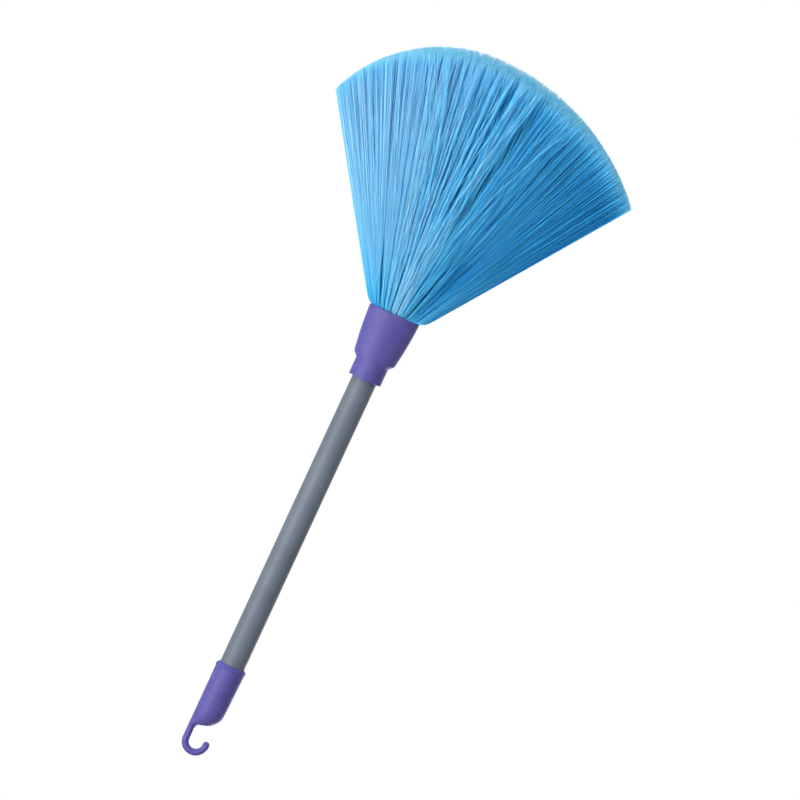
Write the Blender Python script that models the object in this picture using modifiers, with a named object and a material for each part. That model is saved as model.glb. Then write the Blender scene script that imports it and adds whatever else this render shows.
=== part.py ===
"""A synthetic duster: a fan of fine fibres in a moulded ferrule, on a steel tube with a hook cap.

The duster hangs from its hook, head down. The origin is the top of the bowl of the hook, where a
peg bears. Z is up along the axis of the tube, the strap of the hook is at +X, its open side at -X,
and the fan is widest along X. All lengths are in metres and all angles in degrees.
"""

import math
from typing import NamedTuple

import bmesh
import bpy
from mathutils import Vector

# Fits, and how finely round shapes are divided
FIT_GAP = 0.0003
MERGE_DISTANCE = 0.00001
ROUND_STEPS = 36
ARC_STEPS = 10
TIP_STEPS = 5
SMOOTH_ANGLE = 35

# Handle tube
TUBE_DIAMETER = 0.022
TUBE_WALL = 0.0008
TUBE_SHOWN_LENGTH = 0.2692

# Hook cap: a sleeve over the top of the tube, with a flared lip, that narrows on its open side
CAP_WALL = 0.0018
CAP_DRAFT = 0.0008
CAP_LIP_FLARE = 0.0008
CAP_LIP_LENGTH = 0.0050
CAP_NOSE_LENGTH = 0.0025
CAP_SOCKET_DEPTH = 0.0340
CAP_HEAD_SPACE = 0.0045
CAP_STOP_WIDTH = 0.0020
LIP_CURVE_SHARE = 0.3

# End of the cap, from the sleeve up to the foot of the strap. Each row gives shares of the height,
# of the way the open side draws in to the strap, and of the way the depth draws in to the strap.
CAP_END_HEIGHT = 0.0239
CAP_END_SHARES = (
    (0.00, 0.00, 0.00),
    (0.21, 0.02, 0.02),
    (0.33, 0.04, 0.05),
    (0.43, 0.085, 0.10),
    (0.54, 0.175, 0.19),
    (0.64, 0.285, 0.32),
    (0.72, 0.42, 0.45),
    (0.76, 0.57, 0.54),
    (0.785, 0.70, 0.61),
    (0.815, 0.82, 0.68),
    (0.86, 0.905, 0.80),
    (0.91, 0.955, 0.92),
    (0.95, 0.985, 0.975),
    (1.00, 1.00, 1.00),
)

# Hook: an oval bar that rises as a strap and turns over into a bowl with a short round tip
HOOK_BAR = 0.0061
HOOK_WIDTH = 0.0082
HOOK_SEAT_RADIUS = 0.0061
HOOK_STRAP_LENGTH = 0.0095
HOOK_TIP_LENGTH = 0.0038

# Ferrule: a round collar on the tube, a shoulder, and a cone that opens to an oval mouth
COLLAR_WALL = 0.0034
COLLAR_LENGTH = 0.0153
COLLAR_SOCKET_DEPTH = 0.0222
SHOULDER_LENGTH = 0.0043
SHOULDER_STEP = 0.0040
CONE_LENGTH = 0.0419
CONE_BELLY = 0.0007
MOUTH_WIDTH = 0.0460
MOUTH_DEPTH = 0.0290
FERRULE_WALL = 0.0018
FERRULE_WEB = 0.0020
RIM_ROUND = 0.0005
CONE_STEPS = 4

# What holds the fibres in the cup of the ferrule
PAD_THICKNESS = 0.0030
ROOT_LENGTH = 0.0110
BAND_THICKNESS = 0.0008
BAND_HEIGHT = 0.0070

# Fan of fibres: tufts in rows and columns, each with its strands fused at the root
TUFT_ROWS = ("front", "middle", "back")
TUFT_COLUMNS = 7
STRAND_CELLS = 3
LIP_BEND_LENGTH = 0.0045
STRAP_SIDE_SPREAD = 34.9
OPEN_SIDE_SPREAD = 37.3
DEPTH_SPREAD = 11.5
ROW_TURN = 8
STRAND_RADIUS = 0.0024
STRAND_FILL_SHARE = 0.86
LIP_BEND_SHARE = 0.55

# Trimmed end of the fan: an arc for each side, which meet at the tip, and one for the depth
TRIM_REACH = 0.2349
TRIM_TIP_OFFSET = 0.0063
TRIM_STRAP_SIDE_RADIUS = 0.1288
TRIM_OPEN_SIDE_RADIUS = 0.2004
TRIM_DEPTH_RADIUS = 0.1600
TRIM_SEARCH_STEPS = 40

# Surfaces, as linear colours
PURPLE = (0.135, 0.125, 0.356, 1.0)
STEEL_GREY = (0.205, 0.225, 0.250, 1.0)
FIBRE_BLUE = (0.102, 0.402, 0.753, 1.0)
GLUE_AMBER = (0.560, 0.430, 0.210, 1.0)
ZINC_GREY = (0.520, 0.540, 0.550, 1.0)
PLASTIC_ROUGHNESS = 0.42
COATING_ROUGHNESS = 0.38
FIBRE_ROUGHNESS = 0.55
GLUE_ROUGHNESS = 0.30
ZINC_ROUGHNESS = 0.35
COATING_METALLIC = 0.3

# Sizes that follow from the fits
TUBE_RADIUS = TUBE_DIAMETER / 2
BORE_RADIUS = TUBE_RADIUS + FIT_GAP
CAP_RADIUS = BORE_RADIUS + CAP_WALL
COLLAR_RADIUS = BORE_RADIUS + COLLAR_WALL
BAR_RADIUS = HOOK_BAR / 2
BAR_HALF_WIDTH = HOOK_WIDTH / 2

# Heights from the seat of the hook down to the mouth of the ferrule
BOWL_Z = -HOOK_SEAT_RADIUS
STRAP_FOOT_Z = BOWL_Z - HOOK_STRAP_LENGTH
CAP_END_Z = STRAP_FOOT_Z - CAP_END_HEIGHT
TUBE_TOP_Z = CAP_END_Z - CAP_HEAD_SPACE
CAP_NOSE_Z = TUBE_TOP_Z - CAP_SOCKET_DEPTH
CAP_LIP_Z = CAP_NOSE_Z + CAP_NOSE_LENGTH
COLLAR_RIM_Z = CAP_NOSE_Z - TUBE_SHOWN_LENGTH
TUBE_END_Z = COLLAR_RIM_Z - COLLAR_SOCKET_DEPTH
SHOULDER_Z = COLLAR_RIM_Z - COLLAR_LENGTH
CONE_Z = SHOULDER_Z - SHOULDER_LENGTH
MOUTH_Z = CONE_Z - CONE_LENGTH
WEB_TOP_Z = TUBE_END_Z - FIT_GAP
WEB_END_Z = WEB_TOP_Z - FERRULE_WEB
PAD_TOP_Z = WEB_END_Z - FIT_GAP
PAD_END_Z = PAD_TOP_Z - PAD_THICKNESS
ROOT_TOP_Z = PAD_END_Z - FIT_GAP
ROOT_END_Z = ROOT_TOP_Z - ROOT_LENGTH
BAND_TOP_Z = ROOT_TOP_Z - (ROOT_LENGTH - BAND_HEIGHT) / 2
BAND_END_Z = BAND_TOP_Z - BAND_HEIGHT


class Ring(NamedTuple):
    """An oval cross-section: its height, half sizes, middle along X and tilt about Y."""

    height: float
    half_width: float
    half_depth: float
    middle_x: float = 0.0
    tilt: float = 0.0

    @classmethod
    def round(cls, height, radius):
        """Give a level round ring on the axis of the tube."""
        return cls(height, radius, radius)

    def place(self, angle):
        """Give the point of the ring at an angle from its own X."""
        along = self.half_width * math.cos(angle)
        return Vector((
            self.middle_x + along * math.cos(self.tilt),
            self.half_depth * math.sin(angle),
            self.height + along * math.sin(self.tilt),
        ))


def clear_scene():
    """Remove every object that the scene starts with."""
    for item in list(bpy.data.objects):
        bpy.data.objects.remove(item, do_unlink=True)


def new_collection(name):
    """Add a collection under the scene's own."""
    collection = bpy.data.collections.new(name)
    bpy.context.scene.collection.children.link(collection)
    return collection


def new_material(name, colour, roughness, metallic=0.0):
    """Make a Principled material of one colour."""
    material = bpy.data.materials.new(name)
    material.use_nodes = True
    shader = material.node_tree.nodes["Principled BSDF"]
    shader.inputs["Base Color"].default_value = colour
    shader.inputs["Roughness"].default_value = roughness
    shader.inputs["Metallic"].default_value = metallic
    return material


def new_object(name, mesh, collection, material):
    """Put a mesh in a collection as a named object, shaded smooth where it is round."""
    piece = bpy.data.objects.new(name, mesh)
    collection.objects.link(piece)
    mesh.materials.append(material)
    mesh.shade_smooth()
    mesh.set_sharp_from_angle(angle=math.radians(SMOOTH_ANGLE))
    return piece


def turned(name, profile, collection, material):
    """Turn a closed profile of (radius, height) points round Z, its outer side top to bottom."""
    points = [(radius, 0, height) for radius, height in profile]
    edges = [(index, (index + 1) % len(points)) for index in range(len(points))]
    mesh = bpy.data.meshes.new(name)
    mesh.from_pydata(points, edges, [])
    piece = new_object(name, mesh, collection, material)
    screw = piece.modifiers.new("Turn", "SCREW")
    screw.steps = ROUND_STEPS
    screw.render_steps = ROUND_STEPS
    screw.use_merge_vertices = True
    screw.merge_threshold = MERGE_DISTANCE
    screw.use_smooth_shade = True
    return piece


def bridge(mesh_data, upper, lower):
    """Join two loops of as many vertices with a band of faces."""
    for index in range(len(upper)):
        following = (index + 1) % len(upper)
        mesh_data.faces.new((upper[index], upper[following], lower[following], lower[index]))


def lofted(name, rings, collection, material, closed=False):
    """Skin a run of unlike rings into one closed solid.

    A closed run joins its last ring to its first, and an open one has a flat cap at each end.
    """
    mesh_data = bmesh.new()
    angles = [math.tau * step / ROUND_STEPS for step in range(ROUND_STEPS)]
    loops = [[mesh_data.verts.new(ring.place(angle)) for angle in angles] for ring in rings]
    for upper, lower in zip(loops, loops[1:]):
        bridge(mesh_data, upper, lower)
    if closed:
        bridge(mesh_data, loops[-1], loops[0])
    else:
        mesh_data.faces.new(loops[0])
        mesh_data.faces.new(loops[-1])
    bmesh.ops.recalc_face_normals(mesh_data, faces=mesh_data.faces)
    mesh = bpy.data.meshes.new(name)
    mesh_data.to_mesh(mesh)
    mesh_data.free()
    return new_object(name, mesh, collection, material)


def add_handle_tube(parts, material):
    """Add the thin-walled tube, open at both ends, which the cap and the collar cover."""
    inner = TUBE_RADIUS - TUBE_WALL
    profile = [
        (TUBE_RADIUS, TUBE_TOP_Z),
        (TUBE_RADIUS, TUBE_END_Z),
        (inner, TUBE_END_Z),
        (inner, TUBE_TOP_Z),
    ]
    return turned("handle_tube", profile, parts, material)


def socket_rings():
    """Give the inside of the cap: the space above the tube, the stop and the socket."""
    stop_z = TUBE_TOP_Z + FIT_GAP
    return [
        Ring.round(CAP_END_Z, BORE_RADIUS - CAP_STOP_WIDTH),
        Ring.round(stop_z, BORE_RADIUS - CAP_STOP_WIDTH),
        Ring.round(stop_z, BORE_RADIUS),
        Ring.round(CAP_NOSE_Z, BORE_RADIUS),
        Ring.round(CAP_NOSE_Z, BORE_RADIUS + RIM_ROUND),
    ]


def end_ring(height_share, side_share, depth_share):
    """Give one ring of the end of the cap, which stays flush with the sleeve at the strap."""
    open_side = CAP_DRAFT - CAP_RADIUS
    open_side += (CAP_RADIUS - HOOK_BAR - open_side) * side_share
    half_depth = CAP_RADIUS - CAP_DRAFT / 2
    half_depth += (BAR_HALF_WIDTH - half_depth) * depth_share
    height = CAP_END_Z + CAP_END_HEIGHT * height_share
    half_width = (CAP_RADIUS - open_side) / 2
    return Ring(height, half_width, half_depth, CAP_RADIUS - half_width)


def sleeve_rings():
    """Give the outside of the cap, from its flared lip up to the foot of the strap."""
    curve_z = CAP_LIP_Z + CAP_LIP_LENGTH * LIP_CURVE_SHARE
    rings = [
        Ring.round(CAP_LIP_Z, CAP_RADIUS + CAP_LIP_FLARE),
        Ring.round(curve_z, CAP_RADIUS + CAP_LIP_FLARE * LIP_CURVE_SHARE),
        Ring.round(CAP_LIP_Z + CAP_LIP_LENGTH, CAP_RADIUS),
    ]
    return rings + [end_ring(*shares) for shares in CAP_END_SHARES]


def hook_rings():
    """Give the hook from the top of its strap over the bowl to its round tip."""
    turn_radius = HOOK_SEAT_RADIUS + BAR_RADIUS
    bowl_x = CAP_RADIUS - BAR_RADIUS - turn_radius
    rings = []
    for step in range(2 * ARC_STEPS + 1):
        turn = math.pi * step / (2 * ARC_STEPS)
        height = BOWL_Z + turn_radius * math.sin(turn)
        middle_x = bowl_x + turn_radius * math.cos(turn)
        rings.append(Ring(height, BAR_RADIUS, BAR_HALF_WIDTH, middle_x, turn))
    round_z = BOWL_Z - HOOK_TIP_LENGTH + BAR_RADIUS
    for step in range(TIP_STEPS):
        turn = math.pi / 2 * step / TIP_STEPS
        height = round_z - BAR_RADIUS * math.sin(turn)
        half_width = BAR_RADIUS * math.cos(turn)
        half_depth = BAR_HALF_WIDTH * math.cos(turn)
        rings.append(Ring(height, half_width, half_depth, bowl_x - turn_radius, math.pi))
    return rings


def add_hook_cap(parts, material):
    """Add the cap, one moulding: from its socket round the lip, up the sleeve and over the hook."""
    rings = socket_rings() + sleeve_rings() + hook_rings()
    return lofted("hook_cap", rings, parts, material)


def cone_size(height):
    """Give the outer half width and half depth of the ferrule's cone at a height."""
    share = (CONE_Z - height) / CONE_LENGTH
    belly = 4 * CONE_BELLY * share * (1 - share)
    top_width = COLLAR_RADIUS + SHOULDER_STEP
    half_width = top_width + (MOUTH_WIDTH / 2 - top_width) * share + belly
    half_depth = COLLAR_RADIUS + (MOUTH_DEPTH / 2 - COLLAR_RADIUS) * share + belly
    return half_width, half_depth


def cup_size(height):
    """Give the inner half width and half depth of the ferrule's cup at a height."""
    half_width, half_depth = cone_size(height)
    return half_width - FERRULE_WALL, half_depth - FERRULE_WALL


def add_ferrule(parts, material):
    """Add the ferrule, from the web in its collar round the outside to the web in its cup."""
    rings = [
        Ring.round(WEB_TOP_Z, BORE_RADIUS),
        Ring.round(COLLAR_RIM_Z, BORE_RADIUS),
        Ring.round(COLLAR_RIM_Z, COLLAR_RADIUS - RIM_ROUND),
        Ring.round(COLLAR_RIM_Z - RIM_ROUND, COLLAR_RADIUS),
        Ring.round(SHOULDER_Z, COLLAR_RADIUS),
    ]
    for step in range(CONE_STEPS):
        height = CONE_Z - CONE_LENGTH * step / CONE_STEPS
        rings.append(Ring(height, *cone_size(height)))
    rim_z = MOUTH_Z + RIM_ROUND
    outer_width, outer_depth = cone_size(MOUTH_Z)
    inner_width, inner_depth = cup_size(MOUTH_Z)
    rings += [
        Ring(rim_z, *cone_size(rim_z)),
        Ring(MOUTH_Z, outer_width - RIM_ROUND, outer_depth - RIM_ROUND),
        Ring(MOUTH_Z, inner_width + RIM_ROUND, inner_depth + RIM_ROUND),
    ]
    for step in range(CONE_STEPS + 1):
        height = rim_z + (WEB_END_Z - rim_z) * step / CONE_STEPS
        rings.append(Ring(height, *cup_size(height)))
    return lofted("ferrule", rings, parts, material)


def root_size():
    """Give the half width and half depth of the bundle of tuft roots inside its band."""
    half_width, half_depth = cup_size(BAND_TOP_Z)
    around = FIT_GAP + BAND_THICKNESS + FIT_GAP
    return half_width - around, half_depth - around


def add_glue_pad(parts, material):
    """Add the pad of hot-melt glue between the ferrule's web and the roots."""
    rings = [Ring(PAD_TOP_Z, *root_size()), Ring(PAD_END_Z, *root_size())]
    return lofted("glue_pad", rings, parts, material)


def add_binding_band(parts, material):
    """Add the flat band that is crimped round the roots."""
    inner = [size + FIT_GAP for size in root_size()]
    outer = [size + BAND_THICKNESS for size in inner]
    rings = [
        Ring(BAND_TOP_Z, *outer),
        Ring(BAND_END_Z, *outer),
        Ring(BAND_END_Z, *inner),
        Ring(BAND_TOP_Z, *inner),
    ]
    return lofted("binding_band", rings, parts, material, closed=True)


def disc_place(u, v):
    """Map a place in the square from -1 to 1 to the unit disc, its rows turned a little."""
    across = u * math.sqrt(1 - v * v / 2)
    deep = v * math.sqrt(1 - u * u / 2)
    turn = math.radians(ROW_TURN)
    return Vector((
        across * math.cos(turn) - deep * math.sin(turn),
        across * math.sin(turn) + deep * math.cos(turn),
    ))


def lip_size():
    """Give the half width and half depth of the bundle where it leaves the ferrule."""
    half_width, half_depth = cup_size(MOUTH_Z)
    return half_width - FIT_GAP, half_depth - FIT_GAP


def spread_place(place, distance):
    """Give the X and Y of a place in the unit disc, at a distance past the ferrule's mouth."""
    half_width, half_depth = lip_size()
    spread = STRAP_SIDE_SPREAD if place.x > 0 else OPEN_SIDE_SPREAD
    x = place.x * (half_width + distance * math.tan(math.radians(spread)))
    y = place.y * (half_depth + distance * math.tan(math.radians(DEPTH_SPREAD)))
    return Vector((x, y))


def trim_distance(x, y):
    """Give how far past the mouth the fan is trimmed at an X and Y."""
    from_tip = x - TRIM_TIP_OFFSET
    radius = TRIM_STRAP_SIDE_RADIUS if from_tip > 0 else TRIM_OPEN_SIDE_RADIUS
    across_drop = radius - math.sqrt(max(0, radius ** 2 - from_tip ** 2))
    depth_drop = TRIM_DEPTH_RADIUS - math.sqrt(max(0, TRIM_DEPTH_RADIUS ** 2 - y ** 2))
    return TRIM_REACH - across_drop - depth_drop


def strand_length(place):
    """Find how far past the mouth the strand at a place in the unit disc is trimmed."""
    near, far = 0, TRIM_REACH
    for _ in range(TRIM_SEARCH_STEPS):
        middle = (near + far) / 2
        if middle < trim_distance(*spread_place(place, middle)):
            near = middle
        else:
            far = middle
    return near


def side_clearance(centre, corners):
    """Give the distance from a cell's centre to its nearest side."""
    distances = []
    for first, second in zip(corners, corners[1:] + corners[:1]):
        side = (second - first).normalized()
        distances.append(abs(side.cross(centre - first)))
    return min(distances)


def strand_section(cell, distance):
    """Give the three corners of a strand, which stays inside its own cell of the fan."""
    corners = [spread_place(place, distance) for place in cell]
    centre = sum(corners, Vector((0, 0))) / len(corners)
    radius = min(STRAND_RADIUS, STRAND_FILL_SHARE * side_clearance(centre, corners))
    start = corners[0] - centre
    angle = math.atan2(start.y, start.x)
    turn = math.copysign(math.tau / len(corners), start.cross(corners[1] - centre))
    section = []
    for index in range(len(corners)):
        direction = angle + turn * index
        section.append(centre + radius * Vector((math.cos(direction), math.sin(direction))))
    return section


def strand_rings(cell):
    """Give the sections that a strand passes through: at the lip, past its bend and at its end."""
    lip = [(*corner, MOUTH_Z) for corner in strand_section(cell, 0)]
    bend = []
    for corner in strand_section(cell, LIP_BEND_LENGTH * LIP_BEND_SHARE):
        bend.append((*corner, MOUTH_Z - LIP_BEND_LENGTH))
    end = []
    middle = sum(cell, Vector((0, 0))) / len(cell)
    for corner in strand_section(cell, strand_length(middle)):
        end.append((*corner, MOUTH_Z - trim_distance(*corner)))
    return lip, bend, end


def grow_strand(mesh_data, face, cell):
    """Draw a strand out of one face of a tuft's root, section by section."""
    outline = list(face.verts)
    mesh_data.faces.remove(face)
    for ring in strand_rings(cell):
        following = [mesh_data.verts.new(place) for place in ring]
        bridge(mesh_data, outline, following)
        outline = following
    mesh_data.faces.new(outline)


def add_tuft(name, row, column, parts, material):
    """Add one tuft: its fused root, and the strands that leave it, bend at the lip and spread."""
    root_width, root_depth = root_size()
    margin_u = FIT_GAP / (2 * root_width)
    margin_v = FIT_GAP / (2 * root_depth)
    cell_u = 2 / TUFT_COLUMNS - 2 * margin_u
    cell_v = 2 / len(TUFT_ROWS) - 2 * margin_v
    start_u = 2 * column / TUFT_COLUMNS - 1 + margin_u
    start_v = 2 * row / len(TUFT_ROWS) - 1 + margin_v
    mesh_data = bmesh.new()
    bmesh.ops.create_grid(mesh_data, x_segments=STRAND_CELLS, y_segments=STRAND_CELLS, size=1)
    bmesh.ops.triangulate(mesh_data, faces=mesh_data.faces, quad_method="ALTERNATE")
    for vertex in mesh_data.verts:
        u = start_u + cell_u * (vertex.co.x + 1) / 2
        v = start_v + cell_v * (vertex.co.y + 1) / 2
        place = disc_place(u, v)
        vertex.co = (place.x * root_width, place.y * root_depth, ROOT_END_Z)
    free_faces = list(mesh_data.faces)
    solid = bmesh.ops.extrude_face_region(mesh_data, geom=free_faces, use_keep_orig=True)
    top = [item for item in solid["geom"] if isinstance(item, bmesh.types.BMVert)]
    bmesh.ops.translate(mesh_data, verts=top, vec=(0, 0, ROOT_LENGTH))
    for face in free_faces:
        cell = [Vector((v.co.x / root_width, v.co.y / root_depth)) for v in face.verts]
        grow_strand(mesh_data, face, cell)
    bmesh.ops.recalc_face_normals(mesh_data, faces=mesh_data.faces)
    mesh = bpy.data.meshes.new(name)
    mesh_data.to_mesh(mesh)
    mesh_data.free()
    return new_object(name, mesh, parts, material)


def add_fan(parts, material):
    """Add the tufts row by row, from the strap side of the hook to its open side."""
    for row, row_name in enumerate(TUFT_ROWS):
        for column in range(TUFT_COLUMNS):
            number = TUFT_COLUMNS - column
            add_tuft(f"tuft_{row_name}_{number}", row, column, parts, material)


def main():
    """Build the duster."""
    clear_scene()
    parts = new_collection("synthetic_duster")
    purple = new_material("moulded_purple", PURPLE, PLASTIC_ROUGHNESS)
    coating = new_material("coated_steel", STEEL_GREY, COATING_ROUGHNESS, COATING_METALLIC)
    fibre = new_material("blue_fibre", FIBRE_BLUE, FIBRE_ROUGHNESS)
    glue = new_material("hot_melt_glue", GLUE_AMBER, GLUE_ROUGHNESS)
    zinc = new_material("zinc_band", ZINC_GREY, ZINC_ROUGHNESS, 1.0)
    add_handle_tube(parts, coating)
    add_hook_cap(parts, purple)
    add_ferrule(parts, purple)
    add_glue_pad(parts, glue)
    add_binding_band(parts, zinc)
    add_fan(parts, fibre)


main()
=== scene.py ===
"""The looks of a synthetic duster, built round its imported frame.

The duster hangs from its hook with its head down. Z is up along the handle, the strap of the hook
is at +X, and the fan is widest along X. Lengths are in metres, unless a name ends in _mm.
"""

from __future__ import annotations

import logging
import math
from dataclasses import dataclass
from enum import Enum
from typing import Any, Iterable, Optional, Sequence

import bmesh
import bpy
import numpy as np
from mathutils import Matrix, Vector
from mathutils.kdtree import KDTree


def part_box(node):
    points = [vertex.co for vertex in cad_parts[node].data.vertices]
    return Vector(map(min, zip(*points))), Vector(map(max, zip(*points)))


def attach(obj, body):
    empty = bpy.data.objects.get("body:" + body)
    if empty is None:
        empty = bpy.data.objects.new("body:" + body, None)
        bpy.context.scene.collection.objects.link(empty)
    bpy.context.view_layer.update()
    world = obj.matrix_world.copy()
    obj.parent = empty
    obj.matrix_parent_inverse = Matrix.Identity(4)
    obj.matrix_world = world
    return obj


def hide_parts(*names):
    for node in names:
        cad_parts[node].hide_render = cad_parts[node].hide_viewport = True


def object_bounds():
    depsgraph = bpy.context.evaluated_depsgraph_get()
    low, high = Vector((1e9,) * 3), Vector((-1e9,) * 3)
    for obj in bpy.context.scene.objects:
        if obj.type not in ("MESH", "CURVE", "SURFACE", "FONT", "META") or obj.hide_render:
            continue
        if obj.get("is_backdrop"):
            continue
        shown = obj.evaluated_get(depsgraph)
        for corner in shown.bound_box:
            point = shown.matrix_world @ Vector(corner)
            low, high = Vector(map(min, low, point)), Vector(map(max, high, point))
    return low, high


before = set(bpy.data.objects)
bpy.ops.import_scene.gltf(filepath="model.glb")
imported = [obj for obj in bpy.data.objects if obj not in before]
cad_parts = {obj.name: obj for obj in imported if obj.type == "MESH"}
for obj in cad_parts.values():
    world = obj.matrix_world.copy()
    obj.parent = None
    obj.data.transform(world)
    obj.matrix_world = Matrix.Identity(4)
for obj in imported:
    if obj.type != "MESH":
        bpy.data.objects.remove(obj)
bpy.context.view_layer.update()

LOG = logging.getLogger("duster")
MM = 0.001
BODY = "root"
BAKE_MAP = "OFBake"
TONE = "tone"
CREASE_DEGREES = 40
GOLDEN_ANGLE = math.pi * (3 - math.sqrt(5))


class Slot(Enum):
    """The material slots of the record."""

    PURPLE_PLASTIC = "purple_plastic"
    COATED_STEEL = "coated_steel"
    BLUE_FIBRE = "blue_fibre"
    HOT_MELT_GLUE = "hot_melt_glue"
    ZINC_BAND = "zinc_band"


class Row(Enum):
    """The rows of tufts in the ferrule, from the front, which the camera sees, to the back."""

    FRONT = 0
    MIDDLE = 1
    BACK = 2


class Side(Enum):
    """The two flat sides of the fan, by the sign of Y. The camera sees the front."""

    FRONT = -1
    BACK = 1


def linear(colour: str) -> tuple[float, float, float, float]:
    """Turn an sRGB colour into the linear one that a shader reads.

    Args:
        colour: Hex digits, such as "#6A63AE".

    Returns:
        Red, green, blue and an alpha of 1.
    """
    channels = []
    for start in (1, 3, 5):
        value = int(colour[start:start + 2], 16) / 255
        channels.append(value / 12.92 if value <= 0.04045 else ((value + 0.055) / 1.055) ** 2.4)
    return (*channels, 1.0)


def add_node(
    tree: bpy.types.NodeTree,
    kind: str,
    settings: Optional[dict[Any, Any]] = None,
    links: Optional[dict[Any, bpy.types.NodeSocket]] = None,
) -> bpy.types.Node:
    """Add a node with its settings and its links.

    Args:
        tree: The tree of a material or of the world.
        kind: The node's type.
        settings: A value for each property of the node, or else for each input.
        links: The output that feeds each input.

    Returns:
        The new node.
    """
    node = tree.nodes.new(kind)
    for key, value in (settings or {}).items():
        if isinstance(key, str) and hasattr(node, key):
            setattr(node, key, value)
        else:
            node.inputs[key].default_value = value
    for key, source in (links or {}).items():
        tree.links.new(source, node.inputs[key])
    return node


def set_ramp(node: bpy.types.Node, stops: Iterable[tuple[float, str]]) -> None:
    """Give a colour ramp its stops.

    Args:
        node: The ramp.
        stops: Places from 0 to 1, each with its sRGB colour.
    """
    ramp = node.color_ramp
    stops = tuple(stops)
    while len(ramp.elements) < len(stops):
        ramp.elements.new(1.0)
    for element, (place, colour) in zip(ramp.elements, stops):
        element.position = place
        element.color = linear(colour)


def seen_directly(tree: bpy.types.NodeTree) -> bpy.types.NodeSocket:
    """Tell what the camera sees, itself or in a gloss, from what lights a matt face.

    Args:
        tree: The tree of a material or of the world.

    Returns:
        1 for a ray of sight, and 0 for one of light.
    """
    path = add_node(tree, "ShaderNodeLightPath")
    seen = add_node(
        tree, "ShaderNodeMath", {"operation": "MAXIMUM"},
        {0: path.outputs["Is Camera Ray"], 1: path.outputs["Is Glossy Ray"]},
    )
    shown = add_node(
        tree, "ShaderNodeMath", {"operation": "MAXIMUM"},
        {0: seen.outputs["Value"], 1: path.outputs["Is Transmission Ray"]},
    )
    return shown.outputs["Value"]


def add_object(name: str, data: bpy.types.ID) -> bpy.types.Object:
    """Make an object and link it to the scene.

    Args:
        name: Its name.
        data: Its mesh, lamp or camera.

    Returns:
        The object.
    """
    made = bpy.data.objects.new(name, data)
    bpy.context.scene.collection.objects.link(made)
    return made


@dataclass(frozen=True)
class Finish:
    """A finish, which becomes one material. Names that end in _mm are sizes of its patterns."""

    name: str

    def material(self) -> bpy.types.Material:
        """Build the material.

        Returns:
            The material, with the surface's nodes in place of the ones that it starts with.
        """
        material = bpy.data.materials.new(self.name)
        material.use_nodes = True
        tree = material.node_tree
        tree.nodes.clear()
        add_node(tree, "ShaderNodeOutputMaterial", links={"Surface": self.surface(tree)})
        return material

    def surface(self, tree: bpy.types.NodeTree) -> bpy.types.NodeSocket:
        """Build the surface's nodes.

        Args:
            tree: The material's nodes.

        Returns:
            The output of the last shader.
        """
        raise NotImplementedError


@dataclass(frozen=True)
class MouldedPolypropylene(Finish):
    """Injection-moulded polypropylene, in a violet masterbatch.

    The mould's fine spark-eroded grain spreads the gloss, so lamps show as wide soft streaks, and
    the flow of the melt leaves the colour a little uneven. A little light goes into the plastic.
    """

    name: str = "moulded_polypropylene"
    colour: str = "#433F86"
    pale: str = "#4C4586"
    blend: tuple[float, float] = (0.30, 0.75)
    ior: float = 1.49
    specular: float = 0.4
    roughness: float = 0.60
    roughness_spread: float = 0.05
    haze: float = 0.8
    haze_mm: float = 8.0
    haze_reach: tuple[float, float, float] = (0.5, 0.6, 1.0)
    grain_mm: float = 0.35
    grain_depth_mm: float = 0.010
    grain_strength: float = 0.5
    flow_mm: float = 14.0

    def surface(self, tree: bpy.types.NodeTree) -> bpy.types.NodeSocket:
        """Build the surface's nodes.

        Args:
            tree: The material's nodes.

        Returns:
            The output of the last shader.
        """
        place = add_node(tree, "ShaderNodeTexCoord").outputs["Object"]
        flow = add_node(
            tree, "ShaderNodeTexNoise",
            {"Scale": 1 / (self.flow_mm * MM), "Detail": 3.0, "Roughness": 0.5},
            {"Vector": place},
        )
        colour = add_node(tree, "ShaderNodeValToRGB", links={"Fac": flow.outputs["Fac"]})
        set_ramp(colour, zip(self.blend, (self.colour, self.pale)))
        rough = add_node(
            tree, "ShaderNodeMapRange",
            {"To Min": self.roughness - self.roughness_spread,
             "To Max": self.roughness + self.roughness_spread},
            {"Value": flow.outputs["Fac"]},
        )
        # Spark-eroded grain is about 0.05 mm, and is drawn coarser, so that a close view shows it
        grain = add_node(
            tree, "ShaderNodeTexNoise", {"Scale": 1 / (self.grain_mm * MM), "Detail": 2.0},
            {"Vector": place},
        )
        bump = add_node(
            tree, "ShaderNodeBump",
            {"Strength": self.grain_strength, "Distance": self.grain_depth_mm * MM},
            {"Height": grain.outputs["Fac"]},
        )
        shader = add_node(
            tree, "ShaderNodeBsdfPrincipled",
            {"IOR": self.ior, "Specular IOR Level": self.specular,
             "Subsurface Weight": self.haze, "Subsurface Scale": self.haze_mm * MM,
             "Subsurface Radius": self.haze_reach},
            {"Base Color": colour.outputs["Color"], "Roughness": rough.outputs["Result"],
             "Normal": bump.outputs["Normal"]},
        )
        return shader.outputs["BSDF"]


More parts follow.
